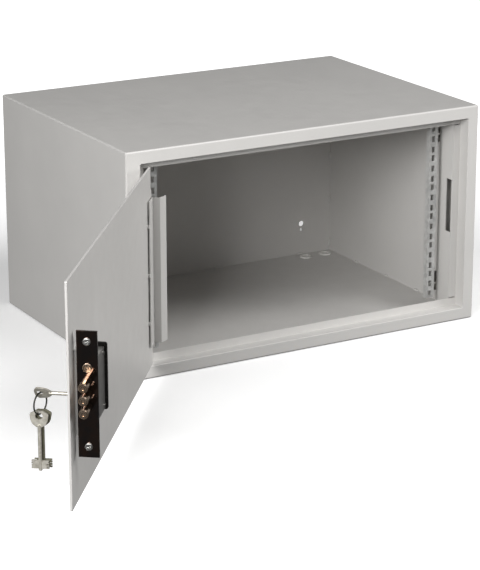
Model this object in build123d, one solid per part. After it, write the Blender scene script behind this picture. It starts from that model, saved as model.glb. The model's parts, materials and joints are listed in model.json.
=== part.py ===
from build123d import *
from math import cos, sin, radians
import os

# Wall-mount anti-vandal cabinet for 19-inch equipment, 6U high, with its door standing open.
# Millimetres. +X right, +Y towards the wall, +Z up. The origin is the centre of the base.
# "y from front" below means the distance behind the plane of the front face.

# ---- casing ----
WIDTH = 576.0
DEPTH = 405.0
HEIGHT = 326.0
SHEET = 1.5
FOLD_RADIUS = 2.5
FACE_LEFT = 22.0
FACE_RIGHT = 17.5
FACE_TOP = 18.5
FACE_BOTTOM = 18.0
REBATE_DEPTH = 20.0
STOP_LEFT = 14.5
STOP_RIGHT = 12.0
STOP_TOP = 11.5
STOP_BOTTOM = 11.0
RELIEF_SLIT = 1.4
FRONT = -DEPTH / 2
BACK = DEPTH / 2
LEFT = -WIDTH / 2
RIGHT = WIDTH / 2
REBATE_LEFT = LEFT + FACE_LEFT
REBATE_RIGHT = RIGHT - FACE_RIGHT
REBATE_LOW = FACE_BOTTOM
REBATE_HIGH = HEIGHT - FACE_TOP
WINDOW_LEFT = REBATE_LEFT + STOP_LEFT
WINDOW_RIGHT = REBATE_RIGHT - STOP_RIGHT
WINDOW_LOW = REBATE_LOW + STOP_BOTTOM
WINDOW_HIGH = REBATE_HIGH - STOP_TOP
FLANGE_BACK = REBATE_DEPTH + SHEET

# ---- wall fixing holes and cable entries ----
WALL_HOLE_X = 232.0
WALL_HOLE_LOW = 53.0
WALL_HOLE_HIGH = HEIGHT - WALL_HOLE_LOW
WALL_HOLE_RADIUS = 4.5
WALL_SLOT_DROP = 10.0
WALL_SLOT_WIDTH = 2.6
WALL_SLOT_LENGTH = 5.0
ENTRY_X = (230.0, 266.5)
ENTRY_FROM_BACK = 20.0
ENTRY_RADIUS = 7.9
PLUG_RADIUS = 9.8
PLUG_RISE = 2.0
PLUG_DISH_RADIUS = 6.4
PLUG_DISH_DEPTH = 1.2

# ---- strike channel: the folded strip that the lock bolts enter ----
STRIKE_BACK = 54.0
STRIKE_SLOT_LOW = 131.5
STRIKE_SLOT_HIGH = 212.0
STRIKE_SLOT_DEPTH = 13.0

# ---- 19-inch rails, 6 rack units ----
UNIT = 44.45
UNITS = 6
UNIT_HOLES = (6.35, 22.225, 38.1)
RAIL_CENTRE_X = 6.0
RAIL_HOLE_PITCH_X = 465.1
RAIL_HOLE_WIDTH = 5.5
RAIL_HOLE_HEIGHT = 9.0
RAIL_FRONT = 41.5
RAIL_LOW = 27.3
RAIL_INNER = 6.5
RAIL_OUTER = 7.5
RAIL_LIP = 8.5
RAIL_SIDE = 22.0
RAIL_SHEET = 1.5
RAIL_HEIGHT = UNIT * UNITS
BRACKET_HEIGHT = 30.0
BRACKET_INSET = 3.0
BRACKET_LEG = 20.0
BRACKET_WEB_Y = 61.0
SCREW_RADIUS = 2.5

# ---- door ----
DOOR_THICK = 3.0
DOOR_LEFT = -247.5
DOOR_RIGHT = 266.5
DOOR_LOW = 22.5
DOOR_HIGH = 303.0
DOOR_OUTER = 8.5
DOOR_INNER = DOOR_OUTER + DOOR_THICK
OPEN_ANGLE = 127.9

# ---- hinges: two weld-on barrel hinges in front of the door's left edge ----
PIVOT_X = -253.5
PIVOT_Y = 5.5
BARREL_RADIUS = 5.5
PIN_RADIUS = 3.0
PIN_CLEARANCE = 0.05
KNUCKLE = 28.0
WASHER_THICK = 1.0
WASHER_GAP = 0.3
HINGE_HEIGHTS = {"lower": 86.0, "upper": 240.0}
LEAF_THICK = 3.0
LEAF_END = -232.0

# ---- anti-pry strip on the door's inner face, at the hinge edge ----
STRIP_LOW = 54.5
STRIP_HIGH = 261.0
STRIP_SHEET = 1.5
STRIP_BASE = 25.0
STRIP_STANDOFF = 1.5
STRIP_WEB = 13.0
STRIP_LIP = 13.0
STRIP_LIP_RISE = 5.5
STRIP_TACKS = 3
TACK_SIZE = 5.0

# ---- lock ----
BOLT_RADIUS = 6.0
BOLT_HOLE_RADIUS = 6.3
BOLT_Y = 28.0
BOLT_PITCH = 15.8
BOLT_MIDDLE_Z = 161.8
BOLT_TIP_X = 272.0
BOLT_BACK_X = 240.0
BOLT_THROW = 24.0
FOREND_X = 245.5
FOREND_THICK = 3.0
FOREND_NEAR = 15.5
FOREND_FAR = 40.3
FOREND_LOW = 83.0
FOREND_HIGH = 238.0
FOREND_SCREWS = (96.5, 225.2)
BACKING_THICK = 3.0
BACKING_FAR = 37.0
BACKING_LOW = 88.0
BACKING_HIGH = 233.0
BASE_LOW = 108.0
BASE_HIGH = 213.0
CASE_LEFT = 190.5
CASE_LOW = 123.5
CASE_HIGH = 201.0
CASE_FAR = 36.5
CASE_WALL = 1.5
COVER_THICK = 2.0
REAR_THICK = 3.0
REAR_LOW = 122.6
REAR_HIGH = 206.0
REAR_FAR = 40.0
CARRIAGE_THICK = 3.0
CARRIAGE_Y = 31.0
LEVERS = 6
LEVER_THICK = 1.2
LEVER_PITCH = 1.7

# ---- keys ----
KEY_X = 204.5
KEY_Z = 144.8
KEY_SHAFT_RADIUS = 2.3
KEY_TIP_Y = 30.6
KEY_BOW_LENGTH = 20.5
KEY_BOW_WIDTH = 23.0
KEY_BOW_THICK = 2.2
KEY_LENGTH = 75.5
KEY_BIT_REACH = 10.7
KEY_BIT_LENGTH = 10.5
KEY_BIT_THICK = 2.2
KEY_HOLE_RADIUS = 4.5
KEY_HOLE_DOWN = 6.5
KEY_TILT = -50.0
KEY_SLOT_WIDTH = 3.4
RING_RADIUS = 13.2
RING_WIRE = 1.0
RING_TURN = 21.0
RING_DROP = 0.2
SPARE_DROP = 2.2
SPARE_SPACING = 6.5


def box(x, y, z):
    """A box from its (low, high) limits along each axis."""
    size = (x[1] - x[0], y[1] - y[0], z[1] - z[0])
    centre = ((x[0] + x[1]) / 2, (y[0] + y[1]) / 2, (z[0] + z[1]) / 2)
    return Pos(*centre) * Box(*size)


def at_front(y):
    """Turn a distance behind the front face into a Y value."""
    return FRONT + y


def front_box(x, y, z):
    """A box whose y limits are distances behind the front face."""
    return box(x, (at_front(y[0]), at_front(y[1])), z)


def rod_x(x, y, z, radius):
    """A cylinder along X between two x values."""
    middle = (x[0] + x[1]) / 2
    return Pos(middle, at_front(y), z) * Rot(0, 90, 0) * Cylinder(radius, x[1] - x[0])


def rod_y(x, y, z, radius):
    """A cylinder along Y between two distances behind the front face."""
    middle = (at_front(y[0]) + at_front(y[1])) / 2
    return Pos(x, middle, z) * Rot(90, 0, 0) * Cylinder(radius, y[1] - y[0])


def rod_z(x, y, z, radius):
    """A cylinder along Z between two heights."""
    middle = (z[0] + z[1]) / 2
    return Pos(x, at_front(y), middle) * Cylinder(radius, z[1] - z[0])


def group(solids):
    """Several separate solids as one node."""
    return Compound(children=list(solids))


def opened(shape):
    """Swing a shape from the closed door's place to where the open door carries it."""
    there = Pos(PIVOT_X, at_front(PIVOT_Y), 0)
    back = Pos(-PIVOT_X, -at_front(PIVOT_Y), 0)
    return there * Rot(0, 0, -OPEN_ANGLE) * back * shape


# ---------------------------------------------------------------- casing
def prism_y(width_limits, height_limits, y_limits, radius):
    """A rounded rectangle in X and Z, extruded along Y."""
    solid = box(width_limits, y_limits, height_limits)
    if radius > 0:
        solid = fillet(solid.edges().filter_by(Axis.Y), radius)
    return solid


def whole_casing():
    """The welded tube with its folded front: face, rebate and stop flange."""
    outer = prism_y((LEFT, RIGHT), (0, HEIGHT), (FRONT, BACK), FOLD_RADIUS)
    outer = fillet(outer.faces().sort_by(Axis.Y)[0].edges(), FOLD_RADIUS)
    inner_radius = FOLD_RADIUS - SHEET
    inside = prism_y((LEFT + SHEET, RIGHT - SHEET), (SHEET, HEIGHT - SHEET),
                     (FRONT + SHEET, BACK + 1), inner_radius)
    rebate_outer = front_box((REBATE_LEFT - SHEET, REBATE_RIGHT + SHEET), (0, FLANGE_BACK),
                             (REBATE_LOW - SHEET, REBATE_HIGH + SHEET))
    rebate = front_box((REBATE_LEFT, REBATE_RIGHT), (-1, REBATE_DEPTH), (REBATE_LOW, REBATE_HIGH))
    rebate = fillet(rebate.edges().filter_by(Axis.Y), 2.0)
    window = front_box((WINDOW_LEFT, WINDOW_RIGHT), (REBATE_DEPTH - 1, FLANGE_BACK + 1),
                       (WINDOW_LOW, WINDOW_HIGH))
    shell = outer - inside + (rebate_outer & outer)
    shell = shell - rebate - window
    rim = [edge for edge in shell.edges()
           if abs(edge.center().Y - FRONT) < 0.01
           and REBATE_LEFT - 0.1 < edge.center().X < REBATE_RIGHT + 0.1
           and REBATE_LOW - 0.1 < edge.center().Z < REBATE_HIGH + 0.1]
    shell = fillet(rim, 1.0) - relief_slits()
    shell = shell.solid() if isinstance(shell, Compound) else shell
    return shell


def relief_slits():
    """The slits at both ends of the right stop flange, where it meets the top and bottom ones."""
    x = (WINDOW_RIGHT - 1, REBATE_RIGHT - 1)
    y = (REBATE_DEPTH - 0.5, FLANGE_BACK + 0.5)
    return [front_box(x, y, (WINDOW_LOW, WINDOW_LOW + RELIEF_SLIT)),
            front_box(x, y, (WINDOW_HIGH - RELIEF_SLIT, WINDOW_HIGH))]


def corner_wedge(points):
    """A prism along Y over a polygon in X and Z, used to share the casing out at its mitres."""
    outline = Polyline([(x, 0, z) for x, z in points], close=True)
    face = make_face(outline)
    return extrude(face, amount=DEPTH + 20, dir=(0, 1, 0)).moved(Location((0, FRONT - 10, 0)))


def casing_panels():
    """Top, bottom, left and right panels, mitred on 45 degree lines from the outer corners."""
    casing = whole_casing()
    far = 60.0
    half = HEIGHT / 2
    lower_left, lower_right = (LEFT - far, -far), (RIGHT + far, -far)
    upper_left, upper_right = (LEFT - far, HEIGHT + far), (RIGHT + far, HEIGHT + far)
    left_mid, right_mid = (LEFT + half, half), (RIGHT - half, half)
    wedges = {
        "top_panel": [upper_left, upper_right, right_mid, left_mid],
        "bottom_panel": [lower_left, left_mid, right_mid, lower_right],
        "left_side_panel": [lower_left, upper_left, left_mid],
        "right_side_panel": [lower_right, right_mid, upper_right],
    }
    return {name: casing & corner_wedge(points) for name, points in wedges.items()}


def entry_spot(x):
    """Where a cable entry stands on the floor."""
    return Pos(x, BACK - ENTRY_FROM_BACK, 0)


def cut_cable_entries(bottom):
    """The floor with its two round cable entries."""
    for x in ENTRY_X:
        bottom = bottom - entry_spot(x) * Cylinder(ENTRY_RADIUS, 4 * SHEET)
    return bottom


def cable_plug(x):
    """A dished blanking plug, pressed into a cable entry from inside."""
    neck = Pos(0, 0, 0.65 * SHEET) * Cylinder(ENTRY_RADIUS, 0.7 * SHEET)
    rim = Pos(0, 0, SHEET + PLUG_RISE / 2) * Cylinder(PLUG_RADIUS, PLUG_RISE)
    rim = fillet(rim.faces().sort_by(Axis.Z)[-1].edges(), 0.9)
    dish = Pos(0, 0, SHEET + PLUG_RISE) * Cylinder(PLUG_DISH_RADIUS, 2 * PLUG_DISH_DEPTH)
    return entry_spot(x) * (neck + rim - dish)


def back_panel():
    """The back sheet, set inside the tube, with four wall fixing holes."""
    sheet = box((LEFT + SHEET, RIGHT - SHEET), (BACK - SHEET, BACK), (SHEET, HEIGHT - SHEET))
    sheet = fillet(sheet.edges().filter_by(Axis.Y), FOLD_RADIUS - SHEET)
    for x in (-WALL_HOLE_X, WALL_HOLE_X):
        for z in (WALL_HOLE_LOW, WALL_HOLE_HIGH):
            sheet = sheet - Pos(x, BACK, z) * Rot(90, 0, 0) * Cylinder(WALL_HOLE_RADIUS, 4 * SHEET)
            slot = Pos(x, BACK, z - WALL_SLOT_DROP) * Box(WALL_SLOT_WIDTH, 4 * SHEET, WALL_SLOT_LENGTH)
            sheet = sheet - slot
    return sheet


def strike_channel():
    """The folded strip behind the right stop flange, with the slot for the three bolts."""
    z = (SHEET, HEIGHT - SHEET)
    web = front_box((WINDOW_RIGHT, WINDOW_RIGHT + SHEET), (FLANGE_BACK, STRIKE_BACK), z)
    tail = front_box((WINDOW_RIGHT, RIGHT - SHEET), (STRIKE_BACK - SHEET, STRIKE_BACK),
                     (z[0] + FOLD_RADIUS, z[1] - FOLD_RADIUS))
    slot = front_box((WINDOW_RIGHT - 1, WINDOW_RIGHT + SHEET + 1),
                     (FLANGE_BACK - 1, FLANGE_BACK + STRIKE_SLOT_DEPTH),
                     (STRIKE_SLOT_LOW, STRIKE_SLOT_HIGH))
    return web + tail - slot


# ---------------------------------------------------------------- rails
def rail_x(side):
    """X of a rail's hole line; side is -1 for the left rail and +1 for the right."""
    return RAIL_CENTRE_X + side * RAIL_HOLE_PITCH_X / 2


def x_span(side, near, far):
    """X limits between two distances outwards from a rail's hole line."""
    a, b = rail_x(side) + side * near, rail_x(side) + side * far
    return (min(a, b), max(a, b))


def rail(side):
    """A channel with eighteen upright holes, an inner lip and a side flange for its brackets."""
    z = (RAIL_LOW, RAIL_LOW + RAIL_HEIGHT)
    web = front_box(x_span(side, -RAIL_INNER, RAIL_OUTER), (RAIL_FRONT, RAIL_FRONT + RAIL_SHEET), z)
    lip = front_box(x_span(side, -RAIL_INNER, -RAIL_INNER + RAIL_SHEET),
                    (RAIL_FRONT, RAIL_FRONT + RAIL_LIP), z)
    flange = front_box(x_span(side, RAIL_OUTER - RAIL_SHEET, RAIL_OUTER),
                       (RAIL_FRONT, RAIL_FRONT + RAIL_SIDE), z)
    body = web + lip + flange
    for unit in range(UNITS):
        for up in UNIT_HOLES:
            spot = Pos(rail_x(side), at_front(RAIL_FRONT), RAIL_LOW + unit * UNIT + up)
            body = body - spot * Box(RAIL_HOLE_WIDTH, 3 * RAIL_SHEET, RAIL_HOLE_HEIGHT)
    for z_mid in bracket_heights():
        body = body - rod_x(x_span(side, RAIL_OUTER - 3, RAIL_OUTER + 3), screw_y(), z_mid, SCREW_RADIUS)
    return body


def bracket_heights():
    """Heights of the bracket screws, near each end of the rails."""
    low = RAIL_LOW + BRACKET_INSET + BRACKET_HEIGHT / 2
    return (low, 2 * RAIL_LOW + RAIL_HEIGHT - low)


def screw_y():
    """Distance of the rail screws behind the front face."""
    return (RAIL_FRONT + BRACKET_WEB_Y) / 2 + 1


def rail_bracket(side, z_mid):
    """A folded bracket from a rail's side flange to the casing's side."""
    z = (z_mid - BRACKET_HEIGHT / 2, z_mid + BRACKET_HEIGHT / 2)
    wall = (RIGHT - SHEET - rail_x(1)) if side > 0 else (rail_x(-1) - (LEFT + SHEET))
    y_web = (BRACKET_WEB_Y, BRACKET_WEB_Y + SHEET)
    leg = front_box(x_span(side, RAIL_OUTER, RAIL_OUTER + SHEET), (RAIL_FRONT + 4, y_web[1]), z)
    web = front_box(x_span(side, RAIL_OUTER, wall), y_web, z)
    foot = front_box(x_span(side, wall - SHEET, wall), (y_web[0], y_web[0] + BRACKET_LEG), z)
    hole = rod_x(x_span(side, RAIL_OUTER - 3, RAIL_OUTER + 3), screw_y(), z_mid, SCREW_RADIUS)
    return leg + web + foot - hole


def rail_screw(side, z_mid):
    """A pan-head screw through the rail's side flange and its bracket."""
    shank = rod_x(x_span(side, RAIL_OUTER - RAIL_SHEET, RAIL_OUTER + 9), screw_y(), z_mid, SCREW_RADIUS)
    head = rod_x(x_span(side, RAIL_OUTER - RAIL_SHEET - 2.4, RAIL_OUTER - RAIL_SHEET), screw_y(), z_mid, 4.6)
    return shank + head


def rail_nut(side, z_mid):
    """A hexagon nut on the rail screw, outside the bracket."""
    near, far = x_span(side, RAIL_OUTER + SHEET, RAIL_OUTER + SHEET + 4)
    middle = Pos((near + far) / 2, at_front(screw_y()), z_mid) * Rot(0, 90, 0)
    nut = extrude(RegularPolygon(4.0, 6, major_radius=False), amount=2.0, both=True)
    return middle * (nut - Cylinder(SCREW_RADIUS, 6))


# ---------------------------------------------------------------- door and hinges
def keyhole():
    """The keyhole cutter: a round for the shaft and a slot for the two bits."""
    y = (0.0, CASE_FAR - COVER_THICK - 6)
    slot = front_box((KEY_X - KEY_SLOT_WIDTH / 2, KEY_X + KEY_SLOT_WIDTH / 2), y,
                     (KEY_Z - KEY_BIT_REACH - 1, KEY_Z + KEY_BIT_REACH + 1))
    return slot + rod_y(KEY_X, y, KEY_Z, KEY_SHAFT_RADIUS + 0.7)


def door_plate():
    """The flat door plate."""
    plate = front_box((DOOR_LEFT, DOOR_RIGHT), (DOOR_OUTER, DOOR_INNER), (DOOR_LOW, DOOR_HIGH))
    plate = fillet(plate.edges().filter_by(Axis.Y), 1.5)
    plate = fillet(plate.edges().filter_by(Axis.Z), 0.6)
    return plate - keyhole()


def anti_pry_strip():
    """A folded strip whose lip hooks behind the left stop flange when the door is shut."""
    low = DOOR_INNER
    web_top = low + STRIP_WEB
    t = STRIP_SHEET
    x = DOOR_LEFT
    web = front_box((x, x + t), (low, web_top), (STRIP_LOW, STRIP_HIGH))
    base = front_box((x, x + STRIP_BASE), (low + STRIP_STANDOFF, low + STRIP_STANDOFF + t),
                     (STRIP_LOW, STRIP_HIGH))
    run = [(x + t, at_front(web_top)), (x + t, at_front(web_top - t)), (x, at_front(web_top - t)),
           (x - STRIP_LIP, at_front(web_top - t + STRIP_LIP_RISE)),
           (x - STRIP_LIP, at_front(web_top + STRIP_LIP_RISE)), (x, at_front(web_top))]
    face = make_face(Polyline(run, close=True))
    lip = Pos(0, 0, STRIP_LOW) * extrude(face, amount=STRIP_HIGH - STRIP_LOW, dir=(0, 0, 1))
    return web + base + lip


def strip_tacks():
    """Tack welds that bridge the strip's free edge to the door."""
    end = DOOR_LEFT + STRIP_BASE
    step = (STRIP_HIGH - STRIP_LOW) / STRIP_TACKS
    heights = [STRIP_LOW + step * (i + 0.5) for i in range(STRIP_TACKS)]
    y = (DOOR_INNER, DOOR_INNER + STRIP_STANDOFF + STRIP_SHEET)
    return group([chamfer(front_box((end, end + 2.6), y, (z - TACK_SIZE / 2, z + TACK_SIZE / 2))
                          .edges().filter_by(Axis.Y), 0.8) for z in heights])


def hinge_pieces(height):
    """One barrel hinge: frame half, door half, pin and washer, at the closed door's place."""
    low = (height - KNUCKLE, height)
    washer = (height, height + WASHER_THICK)
    high = (washer[1] + WASHER_GAP, washer[1] + WASHER_GAP + KNUCKLE)
    bore = rod_z(PIVOT_X, PIVOT_Y, (low[0] + 2, high[1] + 1), PIN_RADIUS)
    frame_half = rod_z(PIVOT_X, PIVOT_Y, low, BARREL_RADIUS)
    leaf_y = (PIVOT_Y - LEAF_THICK / 2, PIVOT_Y + LEAF_THICK / 2)
    frame_half = frame_half + front_box((REBATE_LEFT, PIVOT_X), leaf_y, low)
    door_half = rod_z(PIVOT_X, PIVOT_Y, high, BARREL_RADIUS)
    leaf = front_box((PIVOT_X, LEAF_END), (DOOR_OUTER - LEAF_THICK, DOOR_OUTER), high)
    bore_wide = rod_z(PIVOT_X, PIVOT_Y, (high[0] - 1, high[1] - 2), PIN_RADIUS + PIN_CLEARANCE)
    ring = rod_z(PIVOT_X, PIVOT_Y, washer, BARREL_RADIUS - 0.5) - bore
    pin = rod_z(PIVOT_X, PIVOT_Y, (low[0] + 2, high[1] - 2.5), PIN_RADIUS)
    return frame_half - bore, door_half + leaf - bore_wide, pin, ring


# ---------------------------------------------------------------- lock
def bolt_heights():
    """Heights of the three lock bolts."""
    return [BOLT_MIDDLE_Z + BOLT_PITCH * step for step in (-1, 0, 1)]


def lock_forend():
    """The bright face plate that the bolts come through."""
    x = (FOREND_X - FOREND_THICK, FOREND_X)
    plate = front_box(x, (FOREND_NEAR, FOREND_FAR), (FOREND_LOW, FOREND_HIGH))
    plate = chamfer(plate.faces().sort_by(Axis.X)[-1].edges(), 0.4)
    for z in bolt_heights():
        plate = plate - rod_x((x[0] - 1, x[1] + 1), BOLT_Y, z, BOLT_HOLE_RADIUS)
    for z in FOREND_SCREWS:
        plate = plate - rod_x((x[0] - 1, x[1] + 1), BOLT_Y, z, SCREW_RADIUS)
    return plate


def blank_bolt_bush():
    """The plugged bush above the bolts, where the longer lock of the range has a fourth bolt."""
    z = bolt_heights()[-1] + BOLT_PITCH
    bush = rod_x((FOREND_X, FOREND_X + 1.2), BOLT_Y, z, 5.6)
    bush = fillet(bush.faces().sort_by(Axis.X)[-1].edges(), 0.6)
    return bush - rod_x((FOREND_X + 0.5, FOREND_X + 2), BOLT_Y, z, 3.4)


def forend_backing_plate():
    """The plate behind the forend that takes its screws."""
    x = (FOREND_X - FOREND_THICK - BACKING_THICK, FOREND_X - FOREND_THICK)
    plate = front_box(x, (FOREND_NEAR, BACKING_FAR), (BACKING_LOW, BACKING_HIGH))
    for z in bolt_heights():
        plate = plate - rod_x((x[0] - 1, x[1] + 1), BOLT_Y, z, BOLT_HOLE_RADIUS)
    for z in FOREND_SCREWS:
        plate = plate - rod_x((x[0] - 1, x[1] + 1), BOLT_Y, z, SCREW_RADIUS)
    return plate


def forend_screw(z):
    """A raised-head screw through the forend into its backing plate."""
    end = FOREND_X - FOREND_THICK - BACKING_THICK
    shank = rod_x((end, FOREND_X), BOLT_Y, z, SCREW_RADIUS)
    head = rod_x((FOREND_X, FOREND_X + 1.8), BOLT_Y, z, 4.8)
    head = fillet(head.faces().sort_by(Axis.X)[-1].edges(), 1.2)
    drive = Pos(FOREND_X + 1.8, at_front(BOLT_Y), z)
    cross = Rot(20, 0, 0) * (Box(2.4, 5.0, 1.1) + Box(2.4, 1.1, 5.0))
    return shank + head - drive * cross


def lock_base_plate():
    """The spacer plate welded to the door under the lock case."""
    plate = front_box((CASE_LEFT - REAR_THICK, FOREND_X - FOREND_THICK), (DOOR_INNER, FOREND_NEAR),
                      (BASE_LOW, BASE_HIGH))
    return plate - keyhole()


def lock_case():
    """The lock's open tray, with the keyhole in its floor."""
    x = (CASE_LEFT, FOREND_X - FOREND_THICK - BACKING_THICK)
    y = (FOREND_NEAR, CASE_FAR - COVER_THICK)
    z = (CASE_LOW, CASE_HIGH)
    tray = front_box(x, y, z)
    hollow = front_box((x[0] + CASE_WALL, x[1] + 1), (y[0] + CASE_WALL, y[1] + 1),
                       (z[0] + CASE_WALL, z[1] - CASE_WALL))
    return tray - hollow - keyhole()


def lock_cover():
    """The flat cover of the lock case."""
    x = (CASE_LEFT, FOREND_X - FOREND_THICK - BACKING_THICK)
    plate = front_box(x, (CASE_FAR - COVER_THICK, CASE_FAR), (CASE_LOW, CASE_HIGH))
    return chamfer(plate.faces().sort_by(Axis.Y)[-1].edges(), 0.5)


def cover_screws():
    """Three low-head screws on the lock cover."""
    spots = [(CASE_LEFT + 6, CASE_LOW + 6), (CASE_LEFT + 6, CASE_HIGH - 6), (FOREND_X - 14, CASE_LOW + 6)]
    return group([rod_y(x, (CASE_FAR, CASE_FAR + 1.2), z, 2.6) for x, z in spots])


def lock_rear_plate():
    """The upright plate that closes the back of the lock's seat."""
    plate = front_box((CASE_LEFT - REAR_THICK, CASE_LEFT), (FOREND_NEAR, REAR_FAR), (REAR_LOW, REAR_HIGH))
    return fillet(plate.edges().filter_by(Axis.X).sort_by(Axis.Y)[-2:], 3.0)


def lock_bolt(z):
    """One round bolt with a turned tip."""
    bolt = rod_x((BOLT_BACK_X, BOLT_TIP_X), BOLT_Y, z, BOLT_RADIUS)
    tip = bolt.faces().sort_by(Axis.X)[-1].edges()
    bolt = chamfer(tip, 1.4)
    groove = rod_x((BOLT_TIP_X - 4.6, BOLT_TIP_X - 3.8), BOLT_Y, z, BOLT_RADIUS + 1)
    groove = groove - rod_x((BOLT_TIP_X - 5, BOLT_TIP_X - 3), BOLT_Y, z, BOLT_RADIUS - 0.35)
    dimple = rod_x((BOLT_TIP_X - 0.8, BOLT_TIP_X + 1), BOLT_Y, z, 2.2)
    return bolt - groove - dimple


def bolt_carriage():
    """The slide plate that carries the three bolts on their tails."""
    back = CASE_LEFT + CASE_WALL + BOLT_THROW + 1.5
    heights = bolt_heights()
    plate = front_box((back, BOLT_BACK_X - 6), (CARRIAGE_Y, CARRIAGE_Y + CARRIAGE_THICK),
                      (heights[0] - 6, heights[2] + 6))
    tails = [front_box((BOLT_BACK_X - 6, BOLT_BACK_X), (CARRIAGE_Y, CARRIAGE_Y + CARRIAGE_THICK - 0.6),
                       (z - 2.5, z + 2.5)) for z in heights]
    for tail in tails:
        plate = plate + tail
    return plate


def lever(step):
    """One lever plate, pivoted at its top corner, with a belly above the key."""
    y = FOREND_NEAR + CASE_WALL + 1.2 + step * LEVER_PITCH
    left = CASE_LEFT + CASE_WALL + 1
    base = KEY_Z + KEY_BIT_REACH + 1.5
    plate = front_box((left, left + 20), (y, y + LEVER_THICK), (base, CASE_HIGH - 4))
    plate = fillet(plate.edges().filter_by(Axis.Y), 3.0)
    return plate - rod_y(left + 6, (y - 1, y + LEVER_THICK + 1), CASE_HIGH - 11, 2.0)


def lever_post():
    """The fixed post that the levers pivot on."""
    left = CASE_LEFT + CASE_WALL + 1
    return rod_y(left + 6, (FOREND_NEAR + CASE_WALL, CASE_FAR - COVER_THICK - 3.6), CASE_HIGH - 11, 1.9)


def keyhole_escutcheon():
    """A thin round plate round the keyhole on the door's outer face."""
    disc = rod_y(KEY_X, (DOOR_OUTER - 1.5, DOOR_OUTER), KEY_Z, 16.0)
    disc = chamfer(disc.faces().sort_by(Axis.Y)[0].edges(), 0.6)
    return disc - keyhole()


# ---------------------------------------------------------------- keys
def bow_outline():
    """Wide-shouldered outline of a key's bow, top at Z 0, in X and Z."""
    half = KEY_BOW_WIDTH / 2
    shoulder = [(5.0, 0.0), (half - 1.0, -3.2), (half, -4.8), (half - 1.3, -12.5)]
    neck = [(half - 3.2, -16.5), (KEY_SHAFT_RADIUS + 1.2, -KEY_BOW_LENGTH)]
    side = shoulder + neck
    return side + [(-x, z) for x, z in reversed(side)]


def key():
    """A double-bitted key hanging down from its ring hole; the bow lies in the XZ plane."""
    outline = Polyline([(x, 0, z) for x, z in bow_outline()], close=True)
    bow = extrude(make_face(outline), amount=KEY_BOW_THICK / 2, dir=(0, 1, 0), both=True)
    bow = fillet(bow.edges().filter_by(Axis.Y), 1.0)
    bow = Pos(0, 0, KEY_HOLE_DOWN) * bow
    bow = bow - Rot(90, 0, 0) * Cylinder(KEY_HOLE_RADIUS, 2 * KEY_BOW_THICK)
    shaft_top = KEY_HOLE_DOWN - KEY_BOW_LENGTH + 3
    tip = KEY_HOLE_DOWN - KEY_LENGTH
    shaft = Pos(0, 0, (shaft_top + tip) / 2) * Cylinder(KEY_SHAFT_RADIUS, shaft_top - tip)
    shaft = chamfer(shaft.edges().sort_by(Axis.Z)[0], 0.5)
    bit_low = tip + 2.5
    result = bow + shaft
    for side in (-1, 1):
        reach = Pos(side * KEY_BIT_REACH / 2, 0, bit_low + KEY_BIT_LENGTH / 2)
        bit = reach * Box(KEY_BIT_REACH, KEY_BIT_THICK, KEY_BIT_LENGTH)
        for step in range(3):
            depth = 1.2 + 0.9 * ((step + (side > 0)) % 3)
            z = bit_low + 2.2 + 3.2 * step
            bit = bit - Pos(side * KEY_BIT_REACH, 0, z) * Box(2 * depth, 2 * KEY_BIT_THICK, 1.3)
        result = result + bit
    return result


def key_in_lock():
    """The key pushed into the lock from outside and partly turned."""
    tip_from_hole = KEY_LENGTH - KEY_HOLE_DOWN
    lay = Rot(0, KEY_TILT, 0) * Rot(90, 0, 0)
    return Pos(KEY_X, at_front(KEY_TIP_Y - tip_from_hole), KEY_Z) * lay * key()


def open_point(x, y, z):
    """Where a point of the closed door goes when the door is open."""
    dx, dy = x - PIVOT_X, y - at_front(PIVOT_Y)
    turn = radians(-OPEN_ANGLE)
    return (PIVOT_X + dx * cos(turn) - dy * sin(turn),
            at_front(PIVOT_Y) + dx * sin(turn) + dy * cos(turn), z)


def bow_hole():
    """The centre of the ring hole in the fitted key's bow, with the door open."""
    return open_point(KEY_X, at_front(KEY_TIP_Y - KEY_LENGTH + KEY_HOLE_DOWN), KEY_Z)


def ring_heading():
    """Compass angle, in degrees from +X, of the plane that the key ring hangs in."""
    return -OPEN_ANGLE - RING_TURN


def ring_centre():
    """The ring's centre: its wire passes through the bow hole, a little below the hole's centre."""
    x, y, z = bow_hole()
    return (x, y, z - RING_DROP - RING_RADIUS)


def key_ring():
    """A wire ring hanging from the fitted key."""
    return Pos(*ring_centre()) * Rot(0, 0, ring_heading()) * Rot(90, 0, 0) * Torus(RING_RADIUS, RING_WIRE)


def spare_key_hanger(step):
    """The point on the ring's wire that a spare key hangs from."""
    x, y, z = ring_centre()
    along = step * SPARE_SPACING
    heading = radians(ring_heading())
    drop = (RING_RADIUS ** 2 - along ** 2) ** 0.5
    return (x + along * cos(heading), y + along * sin(heading), z - drop)


def spare_key(step):
    """A spare key on the ring; step is +0.5 for the near one and -0.5 for the far one."""
    x, y, z = spare_key_hanger(step)
    return Pos(x, y, z - SPARE_DROP) * Rot(0, 0, 90 - OPEN_ANGLE) * key()


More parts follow.
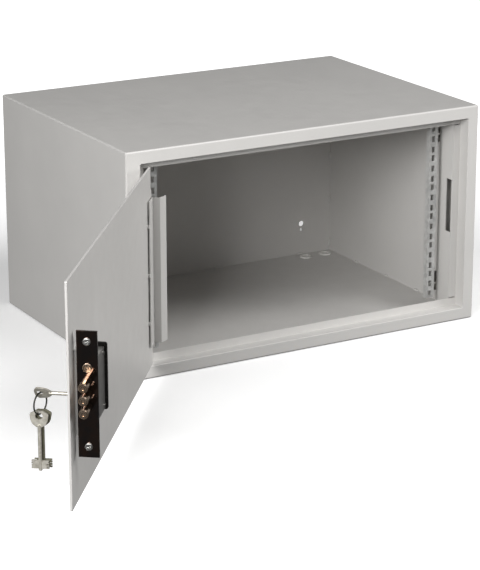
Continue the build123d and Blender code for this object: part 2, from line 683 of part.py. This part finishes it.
# ---------------------------------------------------------------- all nodes
def all_nodes():
    """Every sub-part by node name."""
    nodes = casing_panels()
    nodes["bottom_panel"] = cut_cable_entries(nodes["bottom_panel"])
    nodes["cable_entry_plugs"] = group([cable_plug(x) for x in ENTRY_X])
    nodes["back_panel"] = back_panel()
    nodes["strike_channel"] = strike_channel()
    low, high = bracket_heights()
    for side, name in ((-1, "left"), (1, "right")):
        nodes[name + "_rail"] = rail(side)
        nodes[name + "_rail_lower_bracket"] = rail_bracket(side, low)
        nodes[name + "_rail_upper_bracket"] = rail_bracket(side, high)
        nodes[name + "_rail_screws"] = group([rail_screw(side, z) for z in (low, high)])
        nodes[name + "_rail_nuts"] = group([rail_nut(side, z) for z in (low, high)])
    nodes["door_plate"] = opened(door_plate())
    nodes["anti_pry_strip"] = opened(anti_pry_strip())
    nodes["strip_tack_welds"] = opened(strip_tacks())
    for name, height in HINGE_HEIGHTS.items():
        frame_half, door_half, pin, washer = hinge_pieces(height)
        nodes[name + "_hinge_frame_half"] = frame_half
        nodes[name + "_hinge_door_half"] = opened(door_half)
        nodes[name + "_hinge_pin"] = pin
        nodes[name + "_hinge_washer"] = washer
    nodes["lock_base_plate"] = opened(lock_base_plate())
    nodes["lock_forend"] = opened(lock_forend())
    nodes["blank_bolt_bush"] = opened(blank_bolt_bush())
    nodes["forend_backing_plate"] = opened(forend_backing_plate())
    nodes["forend_screws"] = opened(group([forend_screw(z) for z in FOREND_SCREWS]))
    nodes["lock_case"] = opened(lock_case())
    nodes["lock_cover"] = opened(lock_cover())
    nodes["lock_cover_screws"] = opened(cover_screws())
    nodes["lock_rear_plate"] = opened(lock_rear_plate())
    nodes["lock_levers"] = opened(group([lever(step) for step in range(LEVERS)]))
    nodes["lever_post"] = opened(lever_post())
    nodes["keyhole_escutcheon"] = opened(keyhole_escutcheon())
    for z, name in zip(bolt_heights(), ("lower", "middle", "upper")):
        nodes[name + "_lock_bolt"] = opened(lock_bolt(z))
    nodes["bolt_carriage"] = opened(bolt_carriage())
    nodes["fitted_key"] = opened(key_in_lock())
    nodes["key_ring"] = key_ring()
    nodes["near_spare_key"] = spare_key(0.5)
    nodes["far_spare_key"] = spare_key(-0.5)
    return nodes


os.makedirs("parts", exist_ok=True)
for node_name, node_shape in all_nodes().items():
    export_step(node_shape, "parts/" + node_name + ".step")
print("bow hole", bow_hole())
print("ring top", bow_hole()[2] - RING_DROP)
print("spare key hangers", spare_key_hanger(0.5), spare_key_hanger(-0.5))
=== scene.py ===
"""Looks for the wall-mount rack cabinet: materials, welds and studio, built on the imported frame."""

import json
import math
import random

import bmesh
import bpy
from mathutils import Matrix, Vector

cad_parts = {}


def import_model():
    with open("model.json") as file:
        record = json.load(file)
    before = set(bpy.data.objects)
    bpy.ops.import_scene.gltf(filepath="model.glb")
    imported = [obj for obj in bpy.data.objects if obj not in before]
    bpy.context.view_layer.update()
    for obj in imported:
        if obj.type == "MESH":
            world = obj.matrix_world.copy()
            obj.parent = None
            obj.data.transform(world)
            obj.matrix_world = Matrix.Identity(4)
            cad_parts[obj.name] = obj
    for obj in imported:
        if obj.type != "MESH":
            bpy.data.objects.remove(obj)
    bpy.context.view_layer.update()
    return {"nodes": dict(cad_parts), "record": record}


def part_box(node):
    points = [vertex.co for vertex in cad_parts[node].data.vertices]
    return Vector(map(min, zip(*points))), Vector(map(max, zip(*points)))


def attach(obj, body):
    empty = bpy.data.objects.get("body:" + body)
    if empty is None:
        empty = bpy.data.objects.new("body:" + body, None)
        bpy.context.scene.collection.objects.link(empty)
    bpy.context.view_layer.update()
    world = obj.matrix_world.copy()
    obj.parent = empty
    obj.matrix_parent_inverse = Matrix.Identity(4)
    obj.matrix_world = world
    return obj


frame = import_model()
NODES = frame["nodes"]
MM = 0.001
WELD_SEED = 3

# Radii of the weld beads, half the length of a tack, and the length of a run along the lock's seat.
CASING_BEAD = 2.2 * MM
BRACKET_BEAD = 1.3 * MM
FRAME_HINGE_BEAD = 1.1 * MM
DOOR_HINGE_BEAD = 1.2 * MM
SEAT_BEAD = 1.3 * MM
TACK_HALF_LENGTH = 4 * MM
SEAT_RUN = 12 * MM

# The floor is a square about the object; its glow rises between these distances from the middle.
FLOOR_HALF_SIZE = 14.0
FLOOR_DROP = 0.5 * MM
GLOW_NEAR, GLOW_FAR = 0.5, 1.2
GLOW_LOW, GLOW_HIGH = 0.2, 0.95

# The camera looks along its azimuth, counted from straight ahead, and down by its tilt, in degrees.
CAMERA_PLACE = (-1.5609, -2.7502, 1.0486)
CAMERA_AZIMUTH, CAMERA_TILT = 29.62, 17.69
LENS = 138.8
LIGHTS_AIM = Vector((0, 0, 0.16))
LIGHTS_DISTANCE = 3.0

JOINTS = {joint["name"]: joint for joint in frame["record"]["behaviour"]["joints"]}

# The open door's directions: ALONG from hinge to free edge, INWARD towards the cabinet when shut.
ALONG = -Vector(JOINTS["bolt_throw"]["axis"])
INWARD = -Vector(JOINTS["key_turn"]["axis"])
PIVOT = Vector((*JOINTS["door_swing"]["pos_m"][:2], 0))
WIDE, DEEP, UP = Vector((1, 0, 0)), Vector((0, 1, 0)), Vector((0, 0, 1))


# ---------------------------------------------------------------- shader helpers
class Shader:
    """A small builder for one Principled material."""

    def __init__(self, name, color, metallic=0.0, roughness=0.5):
        self.material = bpy.data.materials.new(name)
        self.material.use_nodes = True
        self.material.diffuse_color = (*color, 1)
        self.nodes = self.material.node_tree.nodes
        self.links = self.material.node_tree.links
        self.surface = self.nodes["Principled BSDF"]
        self.surface.inputs["Base Color"].default_value = (*color, 1)
        self.surface.inputs["Metallic"].default_value = metallic
        self.surface.inputs["Roughness"].default_value = roughness
        self.place = self.nodes.new("ShaderNodeTexCoord").outputs["Object"]
        self.height = None

    def add(self, kind, **inputs):
        """A node of this kind with its sockets set from values or links."""
        node = self.nodes.new("ShaderNode" + kind)
        for key, value in inputs.items():
            socket = node.inputs[key.replace("_", " ")]
            if isinstance(value, bpy.types.NodeSocket):
                self.links.new(value, socket)
            else:
                socket.default_value = value
        return node

    def noise(self, scale, detail=3.0, roughness=0.55, stretch=None):
        """Noise in object space; scale is in features per metre."""
        vector = self.place
        if stretch:
            vector = self.add("Mapping", Vector=self.place, Scale=stretch).outputs["Vector"]
        node = self.add("TexNoise", Vector=vector, Scale=scale, Detail=detail, Roughness=roughness)
        return node.outputs["Fac"]

    def ramp(self, value, low, high, start, end):
        """A value remapped from low..high to start..end."""
        node = self.add("MapRange", Value=value)
        node.inputs["From Min"].default_value = low
        node.inputs["From Max"].default_value = high
        node.inputs["To Min"].default_value = start
        node.inputs["To Max"].default_value = end
        return node.outputs["Result"]

    def blend(self, factor, first, second):
        """A colour between two, by factor."""
        node = self.nodes.new("ShaderNodeMix")
        node.data_type = "RGBA"
        self.links.new(factor, node.inputs["Factor"])
        for socket, value in ((node.inputs[6], first), (node.inputs[7], second)):
            if isinstance(value, bpy.types.NodeSocket):
                self.links.new(value, socket)
            else:
                socket.default_value = (*value, 1)
        return node.outputs[2]

    def color(self, socket):
        """Links a colour to the surface."""
        self.links.new(socket, self.surface.inputs["Base Color"])

    def rough(self, socket):
        """Links a roughness to the surface."""
        self.links.new(socket, self.surface.inputs["Roughness"])

    def bump(self, height, strength, distance):
        """Adds a bump layer on top of those already made."""
        node = self.add("Bump", Height=height, Strength=strength, Distance=distance)
        if self.height:
            self.links.new(self.height, node.inputs["Normal"])
        self.height = node.outputs["Normal"]
        self.links.new(self.height, self.surface.inputs["Normal"])


# ---------------------------------------------------------------- materials
def powder_coat():
    """Light warm grey powder coat: fine texture, faint handling marks and dust in patches."""
    coat = Shader("powder_coat", (0.585, 0.572, 0.553), roughness=0.42)
    cloud = coat.ramp(coat.noise(7.0, 4.0), 0.35, 0.7, 0.0, 1.0)
    tone = coat.blend(cloud, (0.572, 0.56, 0.542), (0.6, 0.587, 0.567))
    speck = coat.ramp(coat.noise(900.0, 2.0), 0.62, 0.72, 0.0, 0.35)
    coat.color(coat.blend(speck, tone, (0.5, 0.49, 0.475)))
    coat.rough(coat.ramp(coat.noise(40.0, 4.0), 0.3, 0.7, 0.36, 0.5))
    coat.bump(coat.noise(1300.0, 2.0, 0.5), 0.18, 0.00012)
    coat.bump(coat.noise(170.0, 2.0, 0.4), 0.12, 0.0002)
    coat.surface.inputs["Coat Weight"].default_value = 0.3
    coat.surface.inputs["Coat Roughness"].default_value = 0.24
    return coat.material


def galvanised():
    """Hot-dip zinc with spangles: flat crystals that differ in tone and gloss."""
    zinc = Shader("galvanised", (0.58, 0.58, 0.565), metallic=0.35, roughness=0.5)
    cells = zinc.add("TexVoronoi", Vector=zinc.place, Scale=170.0)
    fine = zinc.noise(260.0, 4.0)
    grey = zinc.add("SeparateColor", Color=cells.outputs["Color"]).outputs["Red"]
    tone = zinc.blend(grey, (0.5, 0.5, 0.49), (0.66, 0.66, 0.645))
    zinc.color(zinc.blend(zinc.ramp(fine, 0.35, 0.65, 0.0, 0.4), tone, (0.56, 0.56, 0.545)))
    zinc.rough(zinc.ramp(grey, 0.0, 1.0, 0.4, 0.6))
    zinc.bump(cells.outputs["Distance"], 0.12, 0.0002)
    return zinc.material


def bright_zinc():
    """Bright zinc-plated fasteners with fine turning marks and a little dulling."""
    zinc = Shader("bright_zinc", (0.56, 0.56, 0.55), metallic=1.0, roughness=0.3)
    dull = zinc.ramp(zinc.noise(420.0, 4.0), 0.4, 0.65, 0.0, 1.0)
    zinc.color(zinc.blend(dull, (0.62, 0.62, 0.61), (0.45, 0.44, 0.41)))
    zinc.rough(zinc.ramp(dull, 0.0, 1.0, 0.24, 0.4))
    zinc.bump(zinc.noise(2600.0, 2.0), 0.1, 0.00005)
    return zinc.material


def forend_plate():
    """Mirror-polished plate with faint brown tarnish and polishing lines; its near-black base colour is
    a painted dark reflection.
    """
    # The near-black tones here and below paint a dark reflection; the browner blend is tarnish.
    plate = Shader("forend_plate", (0.11, 0.09, 0.08), metallic=1.0, roughness=0.07)
    tarnish = plate.ramp(plate.noise(60.0, 5.0, 0.6), 0.4, 0.7, 0.0, 1.0)
    plate.color(plate.blend(tarnish, (0.1, 0.086, 0.082), (0.16, 0.1, 0.075)))
    plate.rough(plate.ramp(plate.noise(350.0, 5.0), 0.35, 0.75, 0.05, 0.15))
    plate.bump(plate.noise(900.0, 2.0, stretch=(1.0, 1.0, 0.04)), 0.04, 0.00004)
    return plate.material


def bolt_brass(name, centre):
    """Turned, nickel-washed brass, with lathe rings round one bolt's own axis."""
    brass = Shader(name, (0.56, 0.43, 0.32), metallic=1.0, roughness=0.24)
    wash = brass.ramp(brass.noise(150.0, 4.0), 0.35, 0.7, 0.0, 1.0)
    brass.color(brass.blend(wash, (0.6, 0.48, 0.375), (0.43, 0.31, 0.22)))
    turn = math.atan2(ALONG.y, ALONG.x)
    axis = brass.add("Mapping", Vector=brass.place, Location=centre, Rotation=(0, 0, turn))
    axis.vector_type = "TEXTURE"
    across = brass.add("VectorMath", Vector=axis.outputs["Vector"])
    across.operation = "MULTIPLY"
    across.inputs[1].default_value = (0.0, 1.0, 1.0)
    radius = brass.add("VectorMath", Vector=across.outputs["Vector"])
    radius.operation = "LENGTH"
    rings = brass.add("TexNoise", Scale=1400.0)
    rings.noise_dimensions = "1D"
    brass.links.new(radius.outputs["Value"], rings.inputs["W"])
    lathe = brass.add("VectorMath", Vector=axis.outputs["Vector"])
    lathe.operation = "MULTIPLY"
    lathe.inputs[1].default_value = (1.0, 0.02, 0.02)
    feed = brass.add("TexNoise", Vector=lathe.outputs["Vector"], Scale=2600.0, Detail=2.0)
    brass.rough(brass.ramp(rings.outputs["Fac"], 0.35, 0.65, 0.16, 0.36))
    brass.bump(rings.outputs["Fac"], 0.5, 0.00012)
    brass.bump(feed.outputs["Fac"], 0.12, 0.00006)
    return brass.material


def lock_steel():
    """Satin steel with a drawn grain along Z and light oil marks."""
    steel = Shader("lock_steel", (0.56, 0.55, 0.53), metallic=0.9, roughness=0.36)
    oil = steel.ramp(steel.noise(70.0, 4.0), 0.35, 0.7, 0.0, 1.0)
    steel.color(steel.blend(oil, (0.6, 0.59, 0.57), (0.48, 0.465, 0.44)))
    grain = steel.noise(1500.0, 3.0, stretch=(1.0, 1.0, 0.05))
    steel.rough(steel.ramp(grain, 0.3, 0.7, 0.3, 0.46))
    steel.bump(grain, 0.15, 0.00005)
    return steel.material


def dark_steel():
    """Blackened steel, rubbed lighter in places."""
    steel = Shader("dark_steel", (0.04, 0.037, 0.035), metallic=0.5, roughness=0.34)
    rub = steel.ramp(steel.noise(120.0, 5.0, 0.65), 0.55, 0.75, 0.0, 1.0)
    steel.color(steel.blend(rub, (0.03, 0.028, 0.026), (0.11, 0.1, 0.09)))
    steel.rough(steel.ramp(rub, 0.0, 1.0, 0.3, 0.45))
    steel.bump(steel.noise(700.0, 3.0), 0.1, 0.00008)
    return steel.material


def key_nickel(name="key_nickel", shade=1.0):
    """Nickel-plated castings: warm grey, slightly pebbled, rubbed bright.

    A shade below one paints shade over the whole key, darker and browner, for a key that hangs in
    shadow.
    """
    nickel = Shader(name, (0.56, 0.53, 0.46), metallic=0.55, roughness=0.42)
    rub = nickel.ramp(nickel.noise(210.0, 4.0), 0.4, 0.68, 0.0, 1.0)
    worn = (0.5 * shade, 0.475 * shade, 0.41 * shade ** 1.2)
    bright = (0.7 * shade, 0.67 * shade, 0.6 * shade ** 1.2)
    nickel.color(nickel.blend(rub, worn, bright))
    nickel.rough(nickel.ramp(nickel.noise(300.0, 3.0), 0.3, 0.7, 0.3, 0.48))
    nickel.bump(nickel.noise(1400.0, 3.0), 0.25, 0.00008)
    return nickel.material


def ring_steel():
    """Dark oiled spring steel."""
    steel = Shader("ring_steel", (0.025, 0.025, 0.02), metallic=0.5, roughness=0.38)
    stain = steel.ramp(steel.noise(300.0, 4.0), 0.4, 0.7, 0.0, 1.0)
    steel.color(steel.blend(stain, (0.016, 0.016, 0.013), (0.05, 0.048, 0.04)))
    steel.bump(steel.noise(1800.0, 2.0), 0.1, 0.00004)
    return steel.material


def plug_plastic():
    """Light grey moulded plastic with a faint mould texture and darker dust in patches."""
    plastic = Shader("plug_plastic", (0.74, 0.73, 0.7), roughness=0.5)
    dust = plastic.ramp(plastic.noise(260.0, 4.0), 0.4, 0.7, 0.0, 1.0)
    plastic.color(plastic.blend(dust, (0.78, 0.77, 0.74), (0.66, 0.65, 0.62)))
    plastic.rough(plastic.ramp(dust, 0.0, 1.0, 0.42, 0.62))
    plastic.bump(plastic.noise(1500.0, 2.0), 0.15, 0.00006)
    return plastic.material


MATERIALS = {
    "powder_coat": powder_coat(),
    "galvanised": galvanised(),
    "bright_zinc": bright_zinc(),
    "forend_plate": forend_plate(),
    "plug_plastic": plug_plastic(),
    "lock_steel": lock_steel(),
    "dark_steel": dark_steel(),
    "key_nickel": key_nickel(),
    "ring_steel": ring_steel(),
}


def dress_cad_nodes():
    """Gives every CAD node the material of its slot; each bolt has its own, ringed about its axis."""
    for part in frame["record"]["subparts"]:
        name, slot = part["node"], part["material_slot"]
        if slot == "bolt_brass":
            low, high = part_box(name)
            material = bolt_brass(slot + "_" + name, (low + high) / 2)
        elif name == "far_spare_key":
            # The far spare key hangs in shadow behind the near one: its darker nickel is painted shade.
            material = key_nickel("key_nickel_painted_shade", 0.4)
        else:
            material = MATERIALS[slot]
        NODES[name].data.materials.clear()
        NODES[name].data.materials.append(material)


# ---------------------------------------------------------------- extra pieces
def mesh_piece(name, mesh, slot, body):
    """Makes an object that rides on a body and wears a slot's material."""
    data = bpy.data.meshes.new(name)
    mesh.to_mesh(data)
    mesh.free()
    data.polygons.foreach_set("use_smooth", [True] * len(data.polygons))
    piece = bpy.data.objects.new(name, data)
    bpy.context.scene.collection.objects.link(piece)
    data.materials.append(MATERIALS[slot])
    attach(piece, body)


def weld_bead(mesh, start, end, radius, rng):
    """A lumpy run of overlapping weld ripples between two points."""
    run = end - start
    count = max(3, round(run.length / (radius * 0.8)))
    heading = run.to_track_quat("X", "Z").to_matrix().to_4x4()
    for step in range(count + 1):
        size = radius * rng.uniform(0.85, 1.12)
        spot = start.lerp(end, step / count)
        shape = Matrix.Diagonal((1.15, 1.0, rng.uniform(0.62, 0.8), 1.0))
        place = Matrix.Translation(spot) @ heading @ shape
        bmesh.ops.create_icosphere(mesh, subdivisions=2, radius=size, matrix=place)


def tack_weld(mesh, spot, direction, rng):
    """A short bead about a spot in the casing."""
    half = direction * TACK_HALF_LENGTH
    weld_bead(mesh, spot - half, spot + half, CASING_BEAD, rng)


def casing_welds(rng):
    """Tack welds along the back panel's four edges and the floor's two side seams."""
    mesh = bmesh.new()
    low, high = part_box("back_panel")
    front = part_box("strike_channel")[1].y
    sink = 0.6 * CASING_BEAD
    inner_back = low.y - sink
    sides = (low.x + sink, high.x - sink)
    levels = (low.z + sink, high.z - sink)
    for x in sides:
        for height in (0.04, 0.27, 0.5, 0.73, 0.96):
            spot = Vector((x, inner_back, low.z + height * (high.z - low.z)))
            tack_weld(mesh, spot, UP, rng)
        for share in (0.24, 0.49, 0.74):
            spot = Vector((x, inner_back + share * (front - inner_back), levels[0]))
            tack_weld(mesh, spot, DEEP, rng)
    for z in levels:
        for share in (0.1, 0.37, 0.63, 0.9):
            spot = Vector((low.x + share * (high.x - low.x), inner_back, z))
            tack_weld(mesh, spot, WIDE, rng)
    mesh_piece("casing_tack_welds", mesh, "powder_coat", "cabinet")


def bracket_welds(rng):
    """Beads that join the rail brackets' feet to the casing's sides."""
    mesh = bmesh.new()
    for side, reach in (("left", 0), ("right", 1)):
        for end in ("lower", "upper"):
            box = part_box(side + "_rail_" + end + "_bracket")
            x = box[reach].x
            start = Vector((x, box[1].y, box[0].z + 6 * MM))
            finish = Vector((x, box[1].y, box[1].z - 6 * MM))
            weld_bead(mesh, start, finish, BRACKET_BEAD, rng)
    mesh_piece("bracket_welds", mesh, "powder_coat", "cabinet")


def frame_hinge_welds(rng):
    """Beads along both faces of each fixed hinge leaf, where it meets the rebate's wall."""
    mesh = bmesh.new()
    for end in ("lower", "upper"):
        low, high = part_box(end + "_hinge_frame_half")
        middle = (low.y + high.y) / 2
        for side in (-1, 1):
            y = middle + side * 1.8 * MM
            start = Vector((low.x + 0.8 * MM, y, low.z + 3 * MM))
            finish = Vector((low.x + 0.8 * MM, y, high.z - 3 * MM))
            weld_bead(mesh, start, finish, FRAME_HINGE_BEAD, rng)
    mesh_piece("frame_hinge_welds", mesh, "powder_coat", "cabinet")


def door_span(name):
    """A door node's lowest and highest (along, inward, up) distances from the hinge axis at the base."""
    points = [vertex.co - PIVOT for vertex in NODES[name].data.vertices]
    spans = [(point.dot(ALONG), point.dot(INWARD), point.z) for point in points]
    return [tuple(pick(span[axis] for span in spans) for axis in range(3)) for pick in (min, max)]


def door_point(along, inward, up):
    """The place of a point given in the door's own directions."""
    return PIVOT + ALONG * along + INWARD * inward + UP * up


def door_welds(rng):
    """Beads at the moving hinge leaves' ends and along the lock seat's upper and lower edges."""
    mesh = bmesh.new()
    outer, inner = (corner[1] for corner in door_span("door_plate"))
    for end in ("lower", "upper"):
        low, high = door_span(end + "_hinge_door_half")
        start = door_point(high[0], outer - 0.7 * MM, low[2] + 2 * MM)
        finish = door_point(high[0], outer - 0.7 * MM, high[2] - 2 * MM)
        weld_bead(mesh, start, finish, DOOR_HINGE_BEAD, rng)
    low, high = door_span("lock_base_plate")
    for up in (low[2], high[2]):
        for share in (0.12, 0.6):
            along = low[0] + share * (high[0] - low[0])
            start = door_point(along, inner + 0.6 * MM, up)
            weld_bead(mesh, start, start + ALONG * SEAT_RUN, SEAT_BEAD, rng)
    mesh_piece("door_welds", mesh, "powder_coat", "door")


dress_cad_nodes()
weld_rng = random.Random(WELD_SEED)
casing_welds(weld_rng)
bracket_welds(weld_rng)
frame_hinge_welds(weld_rng)
door_welds(weld_rng)


# ---------------------------------------------------------------- studio
def floor():
    """A large plain pale floor, just below the casing's base, that brightens away from the object."""
    mesh = bmesh.new()
    bmesh.ops.create_grid(mesh, x_segments=1, y_segments=1, size=FLOOR_HALF_SIZE,
                          matrix=Matrix.Translation((0, 0, -FLOOR_DROP)))
    data = bpy.data.meshes.new("floor")
    mesh.to_mesh(data)
    mesh.free()
    ground = bpy.data.objects.new("floor", data)
    bpy.context.scene.collection.objects.link(ground)
    paper = Shader("floor_paper", (0.92, 0.92, 0.92), roughness=0.9)
    reach = paper.add("VectorMath", Vector=paper.place)
    reach.operation = "LENGTH"
    glow = paper.ramp(reach.outputs["Value"], GLOW_NEAR, GLOW_FAR, GLOW_LOW, GLOW_HIGH)
    paper.surface.inputs["Emission Color"].default_value = (1, 1, 1, 1)
    paper.links.new(glow, paper.surface.inputs["Emission Strength"])
    data.materials.append(paper.material)
    ground.visible_diffuse = False
    ground.visible_glossy = False


def softbox(name, azimuth, elevation, size, watts, reflected=True):
    """An area light aimed at the object, placed by compass angle and height angle in degrees.

    One that isn't reflected lights the surfaces but leaves no glare on the coat.
    """
    light = bpy.data.lights.new(name, "AREA")
    light.shape = "RECTANGLE"
    light.size, light.size_y = size
    light.energy = watts
    lamp = bpy.data.objects.new(name, light)
    bpy.context.scene.collection.objects.link(lamp)
    a, e = math.radians(azimuth), math.radians(elevation)
    back = Vector((math.sin(a) * math.cos(e), -math.cos(a) * math.cos(e), math.sin(e)))
    lamp.location = LIGHTS_AIM + back * LIGHTS_DISTANCE
    lamp.rotation_mode = "QUATERNION"
    lamp.rotation_quaternion = (-back).to_track_quat("-Z", "Y")
    lamp.visible_glossy = reflected


def world(strength):
    """Even pale surroundings."""
    sky = bpy.data.worlds.new("studio")
    sky.use_nodes = True
    sky.node_tree.nodes["Background"].inputs["Color"].default_value = (1, 1, 1, 1)
    sky.node_tree.nodes["Background"].inputs["Strength"].default_value = strength
    bpy.context.scene.world = sky


def camera():
    """The photograph's viewing angle, without lens shift."""
    data = bpy.data.cameras.new("camera")
    data.sensor_width = 36.0
    data.lens = LENS
    eye = bpy.data.objects.new("camera", data)
    bpy.context.scene.collection.objects.link(eye)
    a, t = math.radians(CAMERA_AZIMUTH), math.radians(CAMERA_TILT)
    forward = Vector((math.sin(a) * math.cos(t), math.cos(a) * math.cos(t), -math.sin(t)))
    eye.location = CAMERA_PLACE
    eye.rotation_mode = "QUATERNION"
    eye.rotation_quaternion = forward.to_track_quat("-Z", "Y")
    data.clip_start, data.clip_end = 0.05, 60.0
    bpy.context.scene.camera = eye


floor()
world(0.09)
softbox("key", -52, 20, (1.4, 1.0), 84)
softbox("right_fill", 62, 14, (1.6, 1.2), 56, reflected=False)
softbox("high_front", 22, 52, (1.2, 1.0), 40)
camera()
bpy.context.scene.view_settings.view_transform = "Standard"
